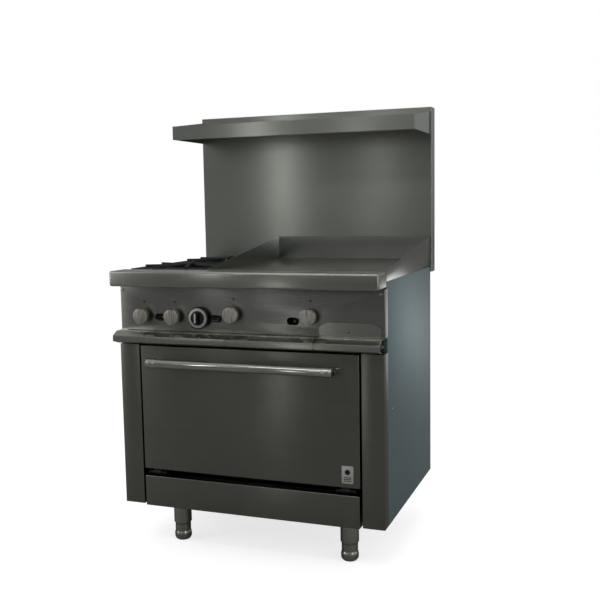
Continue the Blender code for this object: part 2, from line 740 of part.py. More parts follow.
def thermostat_dial():
    profile = [(0, 0.024), (0.0205, 0.024), (0.022, 0.020), (0.035, 0.020), (0.0365, 0.018), (0.0365, 0.008),
               (0.034, 0.006), (0.005, 0.006), (0.005, -0.0165), (0, -0.0165)]
    made = turned("thermostat_dial", "black_plastic", profile, (DIAL_X, PANEL_FACE, DIAL_Z), "-Y", 40)
    half, height, front = 0.008, 0.0195, 0.040
    grip_low = (DIAL_X - half, PANEL_FACE - front, DIAL_Z - height)
    grip_high = (DIAL_X + half, PANEL_FACE - 0.022, DIAL_Z + height)
    grip = raw_box(grip_low, grip_high)
    round_edges(grip, 0.003)
    fuse(made, grip)


# ---- legs ----
def leg(where, x, y):
    top, bore_top = BASE - GAP, 0.150
    bore, low = STEM_RADIUS + 0.0005, FOOT_TOP + 0.0005
    sleeve = [(0, top), (0.040, top), (0.040, top - 0.004), (LEG_RADIUS, top - 0.006), (LEG_RADIUS, 0.063),
              (NECK_RADIUS, low), (bore, low), (bore, bore_top), (0, bore_top)]
    turned(where + "_leg", "chrome", sleeve, (x, y, 0), steps=28)
    bulge_z = 0.019
    foot = [(0, 0.145), (STEM_RADIUS, 0.145), (STEM_RADIUS, FOOT_TOP), (NECK_RADIUS, FOOT_TOP),
            (NECK_RADIUS, 0.042), (0.0280, 0.032)]
    foot += [(FOOT_RADIUS, bulge_z + 0.003), (FOOT_RADIUS, bulge_z - 0.003)]
    foot += arc(FOOT_RADIUS - 0.0145, 0.0145, 0.0145, -pi / 12, -pi / 2, 4)
    foot += [(0, 0)]
    turned(where + "_foot", "chrome", foot, (x, y, 0), steps=28)


base_frame()
side_panels()
back_panel()
front_trims()
kick_panel()
control_panel()
front_rail()
oven_liner()
oven_floor()
oven_burner()
rack_guides()
oven_rack()
tray_deck()
trays()
gas_manifold()
valve("rear_burner_valve", BURNER_X[0], BURNER_KNOB_Z)
valve("front_burner_valve", BURNER_X[1], BURNER_KNOB_Z)
valve("left_griddle_valve", GRIDDLE_X[0], GRIDDLE_KNOB_Z)
valve("right_griddle_valve", GRIDDLE_X[1], GRIDDLE_KNOB_Z)
open_burner("rear_burner", BURNER_X[0], 0.508)
open_burner("front_burner", BURNER_X[1], 0.193)
griddle_burner("left_griddle_burner", GRIDDLE_X[0])
griddle_burner("right_griddle_burner", GRIDDLE_X[1])
burner_box()
grate("front_grate", 0.0505, 0.352)
grate("rear_grate", 0.355, TOP_BACK)
griddle()
griddle_splash()
backguard()
shelf()
door()
door_handle()
handle_bracket("left_handle_bracket", -1)
handle_bracket("right_handle_bracket", 1)
hinge("left", -1)
hinge("right", 1)
knob("rear_burner_knob", BURNER_X[0], BURNER_KNOB_Z)
knob("front_burner_knob", BURNER_X[1], BURNER_KNOB_Z)
knob("left_griddle_knob", GRIDDLE_X[0], GRIDDLE_KNOB_Z)
knob("right_griddle_knob", GRIDDLE_X[1], GRIDDLE_KNOB_Z)
thermostat_dial()
for side_name, leg_x in (("left", -LEG_X), ("right", LEG_X)):
    leg("front_" + side_name, leg_x, LEG_INSET)
    leg("rear_" + side_name, leg_x, BODY_DEPTH - LEG_INSET)
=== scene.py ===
# Looks of a restaurant gas range: brushed stainless sheet, chrome handle and legs, cast iron grates.
from math import cos, pi, radians, sin

import bmesh
import bpy
from mathutils import Euler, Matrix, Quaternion, Vector


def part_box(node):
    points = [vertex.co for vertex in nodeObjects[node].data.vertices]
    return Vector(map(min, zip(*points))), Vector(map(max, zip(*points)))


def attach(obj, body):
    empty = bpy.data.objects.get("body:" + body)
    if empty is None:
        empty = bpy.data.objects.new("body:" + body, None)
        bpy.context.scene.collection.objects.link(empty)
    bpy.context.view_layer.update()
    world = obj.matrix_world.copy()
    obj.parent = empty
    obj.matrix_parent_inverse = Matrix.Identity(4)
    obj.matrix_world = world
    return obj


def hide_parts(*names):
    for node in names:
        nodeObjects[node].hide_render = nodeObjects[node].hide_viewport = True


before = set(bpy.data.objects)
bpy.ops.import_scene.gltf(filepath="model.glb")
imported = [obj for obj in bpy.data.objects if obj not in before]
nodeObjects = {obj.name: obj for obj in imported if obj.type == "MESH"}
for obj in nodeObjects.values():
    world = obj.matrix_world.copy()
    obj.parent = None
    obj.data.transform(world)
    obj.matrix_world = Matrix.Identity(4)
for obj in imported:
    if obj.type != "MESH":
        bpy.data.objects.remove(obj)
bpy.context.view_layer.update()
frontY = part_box("left_front_trim")[0][1]  # the trims' front plane, from which depths are counted
panelDepth = 0.013  # how far the control panel's face stands behind it
print("frame loaded:", len(nodeObjects), "nodes")


# materials
def hexColour(code):
    # sRGB hex to the linear value that a shader wants
    channels = [int(code[i:i + 2], 16) / 255 for i in (0, 2, 4)]
    return (*[c / 12.92 if c <= 0.04045 else ((c + 0.055) / 1.055) ** 2.4 for c in channels], 1.0)


def addNode(tree, kind, settings=None, inputs=None):
    # inputs: a value for the socket, or the (node, output) that feeds it
    made = tree.nodes.new(kind)
    for key, value in (settings or {}).items():
        setattr(made, key, value)
    for key, value in (inputs or {}).items():
        if isinstance(value, tuple) and isinstance(value[0], bpy.types.Node):
            tree.links.new(value[0].outputs[value[1]], made.inputs[key])
        else:
            made.inputs[key].default_value = value
    return made


def newMaterial(name):
    made = bpy.data.materials.new(name)
    made.use_nodes = True
    tree = made.node_tree
    return made, tree, tree.nodes["Principled BSDF"]


def brushedSteel(name, look):
    # rolled stainless sheet with a brushed finish: fine parallel scratches that smear reflections across them
    # real scratches are under 0.1 mm apart; they are drawn as coarse as look["streakMm"] so that they show
    made, tree, shader = newMaterial(name)
    across = 1000 / look["streakMm"]
    along = across / 90  # a scratch is some 90 times as long as it is wide
    grain = {"X": (along, across, across), "Y": (across, along, across), "Z": (across, across, along),
             "Z round": (along, along, across)}[look["grain"]]
    coords = addNode(tree, "ShaderNodeTexCoord")
    drawn = addNode(tree, "ShaderNodeMapping", inputs={"Vector": (coords, "Object"), "Scale": grain})
    streaks = addNode(tree, "ShaderNodeTexNoise", inputs={"Vector": (drawn, 0), "Scale": 1.0, "Detail": 4.0,
                                                          "Roughness": 0.65})
    broad = addNode(tree, "ShaderNodeMapping", inputs={"Vector": (drawn, 0), "Scale": (0.12, 0.12, 0.12)})
    bands = addNode(tree, "ShaderNodeTexNoise", inputs={"Vector": (broad, 0), "Scale": 1.0, "Detail": 2.0,
                                                        "Roughness": 0.5})
    smudges = addNode(tree, "ShaderNodeTexNoise", inputs={"Vector": (coords, "Object"), "Scale": 4.0, "Detail": 5.0,
                                                          "Roughness": 0.55, "Distortion": 0.8})
    woven = addNode(tree, "ShaderNodeMath", {"operation": "MULTIPLY_ADD"},
                    {0: (bands, "Fac"), 1: 0.5, 2: (streaks, "Fac")})
    tone = addNode(tree, "ShaderNodeValToRGB", inputs={"Fac": (woven, "Value")})
    tone.color_ramp.elements[0].position = 0.50
    tone.color_ramp.elements[0].color = hexColour(look["dark"])
    tone.color_ramp.elements[1].position = 1.0
    tone.color_ramp.elements[1].color = hexColour(look["light"])
    handled = addNode(tree, "ShaderNodeMapRange", inputs={"Value": (smudges, "Fac"), "From Min": 0.3,
                                                          "From Max": 0.7, "To Min": 1.0 - look["smudge"],
                                                          "To Max": 1.0 + look["smudge"]})
    colour = addNode(tree, "ShaderNodeVectorMath", {"operation": "SCALE"},
                     {0: (tone, "Color"), "Scale": (handled, "Result")})
    worn = addNode(tree, "ShaderNodeMath", {"operation": "MULTIPLY_ADD"},
                   {0: (smudges, "Fac"), 1: 0.6, 2: (streaks, "Fac")})
    rough = addNode(tree, "ShaderNodeMapRange", inputs={"Value": (worn, "Value"), "From Min": 0.5, "From Max": 1.1,
                                                        "To Min": look["rough"] - 0.004,
                                                        "To Max": look["rough"] + 0.006})
    bump = addNode(tree, "ShaderNodeBump", inputs={"Height": (streaks, "Fac"), "Strength": look["relief"],
                                                   "Distance": 0.0001})
    tree.links.new(colour.outputs["Vector"], shader.inputs["Base Color"])
    tree.links.new(rough.outputs["Result"], shader.inputs["Roughness"])
    tree.links.new(bump.outputs["Normal"], shader.inputs["Normal"])
    shader.inputs["Metallic"].default_value = 1.0
    if look.get("smear"):
        # scratches round the piece, level with the floor, smear a lamp into an upright band
        tangent = addNode(tree, "ShaderNodeTangent", {"direction_type": "RADIAL", "axis": "Z"})
        tree.links.new(tangent.outputs["Tangent"], shader.inputs["Tangent"])
        shader.inputs["Anisotropic"].default_value = look["smear"]
        shader.inputs["Anisotropic Rotation"].default_value = 0.25
    return made


def speckled(name, look):
    # a finish whose grain has no direction: cast, sprayed, enamelled, plated or moulded
    made, tree, shader = newMaterial(name)
    coords = addNode(tree, "ShaderNodeTexCoord")
    grit = addNode(tree, "ShaderNodeTexNoise", inputs={"Vector": (coords, "Object"), "Scale": 1000 / look["grainMm"],
                                                       "Detail": 4.0, "Roughness": 0.6})
    patches = addNode(tree, "ShaderNodeTexNoise", inputs={"Vector": (coords, "Object"), "Detail": 3.0,
                                                          "Scale": 1000 / look["patchMm"], "Roughness": 0.5})
    mixed = addNode(tree, "ShaderNodeMath", {"operation": "MULTIPLY_ADD"},
                    {0: (grit, "Fac"), 1: 0.45, 2: (patches, "Fac")})
    tone = addNode(tree, "ShaderNodeValToRGB", inputs={"Fac": (mixed, "Value")})
    tone.color_ramp.elements[0].position = 0.50
    tone.color_ramp.elements[0].color = hexColour(look["dark"])
    tone.color_ramp.elements[1].position = 0.95
    tone.color_ramp.elements[1].color = hexColour(look["light"])
    rough = addNode(tree, "ShaderNodeMapRange", inputs={"Value": (mixed, "Value"), "From Min": 0.5, "From Max": 0.95,
                                                        "To Min": look["rough"][0], "To Max": look["rough"][1]})
    bump = addNode(tree, "ShaderNodeBump", inputs={"Height": (grit, "Fac"), "Strength": look["relief"],
                                                   "Distance": 0.0005})
    tree.links.new(tone.outputs["Color"], shader.inputs["Base Color"])
    tree.links.new(rough.outputs["Result"], shader.inputs["Roughness"])
    tree.links.new(bump.outputs["Normal"], shader.inputs["Normal"])
    shader.inputs["Metallic"].default_value = look["metal"]
    if "coat" in look:
        shader.inputs["Coat Weight"].default_value = look["coat"]
        shader.inputs["Coat Roughness"].default_value = 0.08
    return made


sheetLooks = {
    # front sheets, brushed along the width: lamps smear into upright bands
    "brushed stainless front": {"grain": "X", "streakMm": 1.2, "dark": "9a9b96", "light": "9d9e99", "smudge": 0.04,
                                "rough": 0.27, "relief": 0.002, "smear": 0.78},
    # trims, door and kick panel: the same sheet as the front, its colour painted darker for the shade low down
    # (painted shade)
    "brushed stainless painted shade low": {"grain": "X", "streakMm": 1.2, "dark": "84857d", "light": "898a82", "smudge": 0.04,
                              "rough": 0.28, "relief": 0.002, "smear": 0.78},
    # front rail: the same sheet as the front, painted a little lighter for the brighter light it reflects (painted
    # light)
    "brushed stainless painted light rail": {"grain": "X", "streakMm": 1.2, "dark": "b0b1a8", "light": "b6b7ae", "smudge": 0.04,
                               "rough": 0.24, "relief": 0.002, "smear": 0.7},
    # backguard and shelf: the same sheet as the front, painted lighter for the brighter light they reflect high up
    # (painted light)
    "brushed stainless painted light backguard": {"grain": "X", "streakMm": 1.3, "dark": "b2b4ac", "light": "b9bbb3",
                                    "smudge": 0.04, "rough": 0.25, "relief": 0.003, "smear": 0.8},
    # side panels: a cooler, plainer sheet, brushed upright
    "brushed stainless side": {"grain": "Z", "streakMm": 1.5, "dark": "96adb2", "light": "9cb2b7", "smudge": 0.03,
                               "rough": 0.44, "relief": 0.003, "smear": 0.5},
    # splash guards and shelf ends: sheet that catches less light, its colour painted lighter to make up for it
    # (painted light)
    "brushed stainless painted light splash": {"grain": "Y", "streakMm": 1.4, "dark": "b6b9b5", "light": "bdc0bc", "smudge": 0.05,
                                 "rough": 0.17, "relief": 0.003, "smear": 0.6},
    # griddle plate: ground steel, its grinding marks run back to front
    "ground griddle steel": {"grain": "Y", "streakMm": 1.6, "dark": "73716a", "light": "86847b", "smudge": 0.08,
                             "rough": 0.24, "relief": 0.015},
    # legs: spun stainless tube, its marks run round it, so each lamp draws an upright line
    "spun stainless": {"grain": "Z round", "streakMm": 1.2, "dark": "c6c5be", "light": "d2d1ca", "smudge": 0.03,
                       "rough": 0.20, "relief": 0.004, "smear": 0.85},
}
finishLooks = {
    # knobs: die-cast zinc, satin plated
    "satin zinc": {"grainMm": 1.0, "patchMm": 30.0, "dark": "ccc8bd", "light": "d4d0c6", "rough": (0.28, 0.31),
                   "relief": 0.0, "metal": 1.0},
    # polished chrome plate over steel: a mirror with a very faint ripple
    "chrome plate": {"grainMm": 9.0, "patchMm": 60.0, "dark": "c2c2bd", "light": "d0d0cb", "rough": (0.06, 0.12),
                     "relief": 0.02, "metal": 1.0},
    # oiled cast iron: dull black, sand-cast grit
    "cast iron": {"grainMm": 1.6, "patchMm": 25.0, "dark": "1a1b1f", "light": "33353a", "rough": (0.42, 0.66),
                  "relief": 0.5, "metal": 0.35},
    # bright tan steel for a thin bead that stands in for the highlight along a fold (painted highlight)
    "painted highlight steel": {"grainMm": 2.0, "patchMm": 40.0, "dark": "cbc5b6", "light": "d8d2c4",
                            "rough": (0.20, 0.30), "relief": 0.02, "metal": 1.0},
    # porcelain enamel: glassy speckled blue-black
    "porcelain enamel": {"grainMm": 1.2, "patchMm": 9.0, "dark": "15181d", "light": "2b3038", "rough": (0.14, 0.26),
                         "relief": 0.08, "metal": 0.0, "coat": 0.6},
    # galvanised sheet: dull grey with a broad spangle
    "galvanised sheet": {"grainMm": 6.0, "patchMm": 20.0, "dark": "8f9395", "light": "b0b4b6", "rough": (0.38, 0.6),
                         "relief": 0.06, "metal": 1.0},
    # threaded black pipe: mill scale under a thin lacquer
    "black steel pipe": {"grainMm": 1.5, "patchMm": 30.0, "dark": "17171a", "light": "2a2a2c", "rough": (0.35, 0.55),
                         "relief": 0.2, "metal": 0.4},
    # machined brass
    "machined brass": {"grainMm": 1.2, "patchMm": 15.0, "dark": "a08850", "light": "bca469", "rough": (0.26, 0.38),
                       "relief": 0.1, "metal": 1.0},
    # phenolic moulding: smooth, near-black, softly glossy
    "black phenolic": {"grainMm": 1.2, "patchMm": 20.0, "dark": "070708", "light": "0c0c0d", "rough": (0.26, 0.36),
                       "relief": 0.04, "metal": 0.0},
    # anodised aluminium ring of the dial
    "pale anodised ring": {"grainMm": 1.0, "patchMm": 14.0, "dark": "c6c7c2", "light": "d6d7d2",
                           "rough": (0.34, 0.42), "relief": 0.0, "metal": 0.3},
    # screen-printed enamel inks
    "white ink": {"grainMm": 1.0, "patchMm": 8.0, "dark": "d9d9d4", "light": "efefea", "rough": (0.4, 0.5),
                  "relief": 0.006, "metal": 0.0},
    "black ink": {"grainMm": 1.0, "patchMm": 8.0, "dark": "0e0e0f", "light": "19191a", "rough": (0.4, 0.5),
                  "relief": 0.006, "metal": 0.0},
    # zinc-plated screws
    "zinc plated screw": {"grainMm": 1.0, "patchMm": 6.0, "dark": "b4b5b2", "light": "d4d5d2", "rough": (0.22, 0.35),
                          "relief": 0.1, "metal": 1.0},
    # printed foil plate
    "pale foil plate": {"grainMm": 1.0, "patchMm": 12.0, "dark": "d4d5d0", "light": "e2e3de", "rough": (0.3, 0.4),
                        "relief": 0.03, "metal": 0.5},
    # woven glass rope around the oven's mouth
    "glass rope": {"grainMm": 1.4, "patchMm": 6.0, "dark": "55534c", "light": "7c7a70", "rough": (0.8, 0.95),
                   "relief": 0.8, "metal": 0.0},
}
finishes = {name: brushedSteel(name, look) for name, look in sheetLooks.items()}
finishes.update({name: speckled(name, look) for name, look in finishLooks.items()})
print("materials made:", len(finishes))


# modelling helpers
def deselectAll():
    if bpy.context.object and bpy.context.object.mode != "OBJECT":
        bpy.ops.object.mode_set(mode="OBJECT")
    bpy.ops.object.select_all(action="DESELECT")


def makeActive(piece):
    deselectAll()
    piece.select_set(True)
    bpy.context.view_layer.objects.active = piece


def applyPlace(piece):
    makeActive(piece)
    bpy.ops.object.transform_apply(location=True, rotation=True, scale=True)


def applyBevel(piece, width, segments=3, angle=30):
    makeActive(piece)
    edge = piece.modifiers.new("edge", "BEVEL")
    edge.width = width
    edge.segments = segments
    edge.limit_method = "ANGLE"
    edge.angle_limit = radians(angle)
    edge.harden_normals = False
    bpy.ops.object.modifier_apply(modifier=edge.name)


def finishPiece(piece, name, body, finish, replaced=(), angle=35):
    # gives a finished piece its name, shading, material and body
    applyPlace(piece)
    piece.name = name
    piece.data.name = name
    piece.data.materials.clear()
    piece.data.materials.append(finishes[finish])
    bpy.ops.object.shade_smooth_by_angle(angle=radians(angle))
    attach(piece, body)
    if replaced:
        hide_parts(*replaced)
    return piece


def pickFaces(test):
    mesh = bmesh.from_edit_mesh(bpy.context.object.data)
    bpy.ops.mesh.select_all(action="DESELECT")
    bpy.ops.mesh.select_mode(type="FACE")
    for face in mesh.faces:
        face.select_set(test(face))
    bmesh.update_edit_mesh(bpy.context.object.data)


def pickEdges(test):
    mesh = bmesh.from_edit_mesh(bpy.context.object.data)
    bpy.ops.mesh.select_all(action="DESELECT")
    bpy.ops.mesh.select_mode(type="EDGE")
    for edge in mesh.edges:
        edge.select_set(test(edge))
    bmesh.update_edit_mesh(bpy.context.object.data)


def at(x, depth, z):
    # a place from the middle, the trims' front plane and the floor
    return x, frontY + depth, z


def block(low, high, width=0.0, segments=3):
    # a cube sized to two corners, its edges rounded
    deselectAll()
    middle = [(a + b) / 2 for a, b in zip(low, high)]
    bpy.ops.mesh.primitive_cube_add(size=1, location=middle)
    made = bpy.context.object
    made.scale = [b - a for a, b in zip(low, high)]
    applyPlace(made)
    if width:
        applyBevel(made, width, segments)
    return made


def taper(piece, test, scale, centre):
    # faces picked by their place are drawn in, to give a casting its draft
    makeActive(piece)
    bpy.ops.object.mode_set(mode="EDIT")
    pickFaces(test)
    bpy.ops.transform.resize(value=scale, center_override=centre)
    bpy.ops.object.mode_set(mode="OBJECT")


def turnedPiece(profile, place=(0, 0, 0), turn=(0, 0, 0), sides=48):
    # a filled circle whose face is extruded and scaled up a list of (radius, height)
    deselectAll()
    radius, height = profile[0]
    bpy.ops.mesh.primitive_circle_add(vertices=sides, radius=radius, fill_type="NGON", location=(0, 0, height))
    made = bpy.context.object
    applyPlace(made)
    bpy.ops.object.mode_set(mode="EDIT")
    bpy.ops.mesh.select_all(action="SELECT")
    for nextRadius, nextHeight in profile[1:]:
        bpy.ops.mesh.extrude_region_move(TRANSFORM_OT_translate={"value": (0, 0, nextHeight - height)})
        ratio = nextRadius / radius
        bpy.ops.transform.resize(value=(ratio, ratio, 1), center_override=(0, 0, nextHeight))
        radius, height = nextRadius, nextHeight
    bpy.ops.mesh.select_all(action="SELECT")
    bpy.ops.mesh.normals_make_consistent(inside=False)
    bpy.ops.object.mode_set(mode="OBJECT")
    made.rotation_euler = turn
    made.location = place
    applyPlace(made)
    return made


def roundedProfile(corners, radius, steps=3):
    # corners of a turned profile, each but the ends softened by an arc of short chords
    points = [Vector(corners[0])]
    for before, corner, after in zip(corners, corners[1:], corners[2:]):
        corner = Vector(corner)
        back, on = Vector(before) - corner, Vector(after) - corner
        reach = min(radius, back.length * 0.45, on.length * 0.45)
        start, end = corner + back.normalized() * reach, corner + on.normalized() * reach
        for i in range(steps + 1):
            t = i / steps
            points.append(start * (1 - t) ** 2 + corner * 2 * t * (1 - t) + end * t ** 2)
    points.append(Vector(corners[-1]))
    return [(max(p.x, 0.0002), p.y) for p in points]


def joined(pieces):
    if len(pieces) == 1:
        return pieces[0]
    deselectAll()
    for piece in pieces:
        piece.select_set(True)
    bpy.context.view_layer.objects.active = pieces[0]
    bpy.ops.object.join()
    return bpy.context.object


def copied(piece, move=(0, 0, 0), turn=(0, 0, 0)):
    # a copy with its own mesh, turned about the origin and then moved
    made = piece.copy()
    made.data = piece.data.copy()
    bpy.context.scene.collection.objects.link(made)
    made.rotation_euler = turn
    made.location = move
    applyPlace(made)
    return made


def placed(piece, move=(0, 0, 0), turn=(0, 0, 0)):
    piece.rotation_euler = turn
    piece.location = move
    applyPlace(piece)
    return piece


def tubePiece(points, radius, sides=16, closed=False):
    curve = bpy.data.curves.new("tube", "CURVE")
    curve.dimensions = "3D"
    curve.bevel_depth = radius
    curve.bevel_resolution = max(1, sides // 4 - 1)
    curve.use_fill_caps = not closed
    spline = curve.splines.new("POLY")
    spline.points.add(len(points) - 1)
    for place, point in zip(spline.points, points):
        place.co = (*point, 1)
    spline.use_cyclic_u = closed
    made = bpy.data.objects.new("tube", curve)
    bpy.context.scene.collection.objects.link(made)
    makeActive(made)
    bpy.ops.object.convert(target="MESH")
    made = bpy.context.object
    bpy.ops.object.mode_set(mode="EDIT")
    bpy.ops.mesh.select_all(action="SELECT")
    bpy.ops.mesh.remove_doubles(threshold=0.00001)
    bpy.ops.mesh.normals_make_consistent(inside=False)
    bpy.ops.object.mode_set(mode="OBJECT")
    return made


facingFront = (radians(90), 0, 0)  # turns +Z to face the cook
facingBack = (radians(-90), 0, 0)


# sheet metal: the frame's own folds, with their corners rounded as a press brake leaves them
def foldedSheet(node, name, body, finish, bend):
    source = nodeObjects[node]
    made = bpy.data.objects.new(name, source.data.copy())
    bpy.context.scene.collection.objects.link(made)
    makeActive(made)
    bpy.ops.object.mode_set(mode="EDIT")
    bpy.ops.mesh.select_all(action="SELECT")
    bpy.ops.mesh.remove_doubles(threshold=0.00002)
    bpy.ops.mesh.dissolve_limited(angle_limit=radians(1))
    # a fold is a sharp corner between two faces that are both wider than the sheet is thick
    mesh = bmesh.from_edit_mesh(made.data)
    wide = {face.index for face in mesh.faces if face.calc_area() > 0.0022 * max(e.calc_length() for e in face.edges)}
    pickEdges(lambda edge: len(edge.link_faces) == 2 and edge.calc_length() > 0.02
              and edge.calc_face_angle(0) > radians(22) and all(face.index in wide for face in edge.link_faces))
    bpy.ops.mesh.bevel(offset=bend, segments=4, affect="EDGES", clamp_overlap=True)
    bpy.ops.mesh.select_mode(type="VERT")
    bpy.ops.object.mode_set(mode="OBJECT")
    return finishPiece(made, name, body, finish, (node,), 40)


sheets = {
    "left_side_panel": ("range_body", "stainless_dark", "brushed stainless side", 0.0022),
    "right_side_panel": ("range_body", "stainless_dark", "brushed stainless side", 0.0022),
    "left_front_trim": ("range_body", "stainless", "brushed stainless painted shade low", 0.002),
    "right_front_trim": ("range_body", "stainless", "brushed stainless painted shade low", 0.002),
    "control_panel": ("range_body", "stainless", "brushed stainless front", 0.0015),
    "griddle_splash": ("range_body", "stainless_dark", "brushed stainless painted light splash", 0.0015),
    "shelf": ("range_body", "stainless", "brushed stainless painted light backguard", 0.0015),
    "base_frame": ("range_body", "galvanised", "galvanised sheet", 0.002),
    "left_crumb_tray": ("left_crumb_tray", "stainless", "brushed stainless painted light rail", 0.0012),
    "middle_crumb_tray": ("middle_crumb_tray", "stainless", "brushed stainless painted light rail", 0.0012),
    "grease_drawer": ("grease_drawer", "stainless", "brushed stainless painted light rail", 0.0012),
}
for node, (body, slot, finish, bend) in sheets.items():
    foldedSheet(node, "folded_" + node, body, finish, bend)


def pressedPan(node, name, body, finish, radius):
    # a shallow pan drawn from one sheet: a rounded block, its back cut away, given the sheet's thickness
    low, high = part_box(node)
    made = block(low, high, radius, 5)
    bpy.ops.object.mode_set(mode="EDIT")
    back = high[1]
    touch = 0.0001
    # the rounded rim of the open back goes too, and the sides are drawn out to where it was
    pickFaces(lambda face: face.calc_center_median().y > back - radius - touch and
              (face.normal.y > 0.02 or face.calc_center_median().y > back - radius * 0.98))
    bpy.ops.mesh.delete(type="FACE")
    mesh = bmesh.from_edit_mesh(made.data)
    for vertex in mesh.verts:
        if abs(vertex.co.y - (back - radius)) < touch:
            vertex.co.y += radius
    bmesh.update_edit_mesh(made.data)
    bpy.ops.object.mode_set(mode="OBJECT")
    makeActive(made)
    wall = made.modifiers.new("sheet", "SOLIDIFY")
    wall.thickness = 0.0015
    wall.offset = -1
    bpy.ops.object.modifier_apply(modifier=wall.name)
    return finishPiece(made, name, body, finish, (node,), 40)


pressedPans = {
    "door_outer_panel": ("door_skin", "oven_door", "brushed stainless painted shade low", 0.0028),
    "kick_panel": ("kick_skin", "range_body", "brushed stainless painted shade low", 0.0028),
    "front_rail": ("rail_skin", "range_body", "brushed stainless painted light rail", 0.007),
}
for node, (name, body, finish, radius) in pressedPans.items():
    pressedPan(node, name, body, finish, radius)
print("sheet metal made:", len(sheets) + len(pressedPans))

# frame nodes that keep their own shape
plainNodes = {
    "brushed stainless front": ("grease_trough",),
    "brushed stainless painted light backguard": ("backguard",),
    "brushed stainless painted light splash": ("left_shelf_bracket", "right_shelf_bracket", "burner_box"),
    "galvanised sheet": ("back_panel", "tray_deck"),
    "porcelain enamel": ("oven_liner", "oven_floor", "door_inner_panel"),
    "cast iron": ("oven_burner", "front_burner", "rear_burner", "left_griddle_burner", "right_griddle_burner"),
    "chrome plate": ("left_rack_guide", "right_rack_guide"),
    "black steel pipe": ("gas_manifold", "left_hinge_knuckle", "right_hinge_knuckle", "left_hinge_pin",
                         "right_hinge_pin"),
    "machined brass": ("front_burner_valve", "rear_burner_valve", "left_griddle_valve", "right_griddle_valve"),
}
for finish, nodes in plainNodes.items():
    for node in nodes:
        piece = nodeObjects[node]
        piece.data.materials.clear()
        piece.data.materials.append(finishes[finish])

# knobs: a thick turned disc with a tapered bar across it
knobLook = {"disc": ((0.0002, 0.0142), (0.0238, 0.0142), (0.0263, 0.0168), (0.0263, 0.0318), (0.0246, 0.0338),
                      (0.0002, 0.0338)),
            "shaft": 0.0052, "gripHalf": 0.0105, "gripHeight": 0.0255, "gripFront": 0.042, "edge": 0.0022,
            "draft": 0.62}


def makeKnob(node):
    low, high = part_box(node)
    x, z = (low[0] + high[0]) / 2, (low[2] + high[2]) / 2
    panel = frontY + panelDepth
    disc = turnedPiece(roundedProfile(knobLook["disc"], 0.0012), sides=64)
    shaft = turnedPiece([(knobLook["shaft"], -0.016), (knobLook["shaft"], 0.016)], sides=24)
    half, tall, front = knobLook["gripHalf"], knobLook["gripHeight"], knobLook["gripFront"]
    grip = block((-half, -tall, 0.0318), (half, tall, front))
    taper(grip, lambda face: face.normal.z > 0.9, (knobLook["draft"], 0.97, 1), (0, 0, front))
    applyBevel(grip, knobLook["edge"], 4)
    turned = placed(joined([disc, shaft, grip]), (x, panel, z), facingFront)
    finishPiece(turned, node + "_turned", node, "satin zinc", (node,), 38)
    line = block((-0.0009, 0.006, front - 0.0003), (0.0009, tall * 0.9, front + 0.0003), 0.0002, 1)
    finishPiece(placed(line, (x, panel, z), facingFront), node + "_line", node, "black ink")


for knob in ("rear_burner_knob", "front_burner_knob", "left_griddle_knob", "right_griddle_knob"):
    makeKnob(knob)

# thermostat dial: black skirt, pale ring of graduations, black hub and bar, white line
dialLook = {"skirt": ((0.0002, 0.006), (0.034, 0.006), (0.0365, 0.0085), (0.0365, 0.0172), (0.0347, 0.0195),
                      (0.0002, 0.0195)),
            "ring": 0.0322, "ringTop": 0.0203, "hub": ((0.0002, 0.0195), (0.0240, 0.0195), (0.0234, 0.0238),
                                                     (0.0002, 0.0242)),
            "ticks": 36, "tickIn": 0.0272, "tickOut": 0.0314, "barHalf": 0.0082, "barTall": 0.0196, "front": 0.040}


def makeDial():
    low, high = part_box("thermostat_dial")
    place = ((low[0] + high[0]) / 2, frontY + panelDepth, (low[2] + high[2]) / 2)
    skirt = turnedPiece(roundedProfile(dialLook["skirt"], 0.001), sides=72)
    shaft = turnedPiece([(0.0052, -0.016), (0.0052, 0.008)], sides=24)
    hub = turnedPiece(roundedProfile(dialLook["hub"], 0.001), sides=64)
    half, tall, front = dialLook["barHalf"], dialLook["barTall"], dialLook["front"]
    bar = block((-half, -tall, 0.0225), (half, tall, front))
    taper(bar, lambda face: face.normal.z > 0.9, (0.74, 0.96, 1), (0, 0, front))
    applyBevel(bar, 0.002, 4)
    made = placed(joined([skirt, shaft, hub, bar]), place, facingFront)
    finishPiece(made, "dial_moulding", "thermostat_dial", "black phenolic", ("thermostat_dial",), 38)
    ring = turnedPiece([(dialLook["ring"], 0.0194), (dialLook["ring"], dialLook["ringTop"])], sides=72)
    applyBevel(ring, 0.0003, 2)
    finishPiece(placed(ring, place, facingFront), "dial_ring", "thermostat_dial", "pale anodised ring")
    top = dialLook["ringTop"]
    tick = block((-0.0003, dialLook["tickIn"], top - 0.0002), (0.0003, dialLook["tickOut"], top + 0.0002))
    longTick = block((-0.0005, dialLook["tickIn"] - 0.002, top - 0.0002),
                     (0.0005, dialLook["tickOut"], top + 0.0002))
    ticks = []
    for i in range(dialLook["ticks"]):
        angle = 2 * pi * i / dialLook["ticks"]
        ticks.append(copied(tick if i % 3 else longTick, (0, 0, 0), (0, 0, angle)))
    bpy.data.objects.remove(tick)
    bpy.data.objects.remove(longTick)
    finishPiece(placed(joined(ticks), place, facingFront), "dial_ticks", "thermostat_dial",
                "black ink")
    line = block((-0.0024, -tall * 0.70, front - 0.0003), (0.0024, tall * 0.86, front + 0.0004), 0.0002, 1)
    finishPiece(placed(line, place, facingFront), "dial_line", "thermostat_dial", "white ink")


makeDial()
print("knobs and dial made")

# door handle: polished tube in two stand-offs with collars
handleLook = {"radius": 0.015, "collar": 0.0163, "collarLength": 0.032, "plate": 0.005}


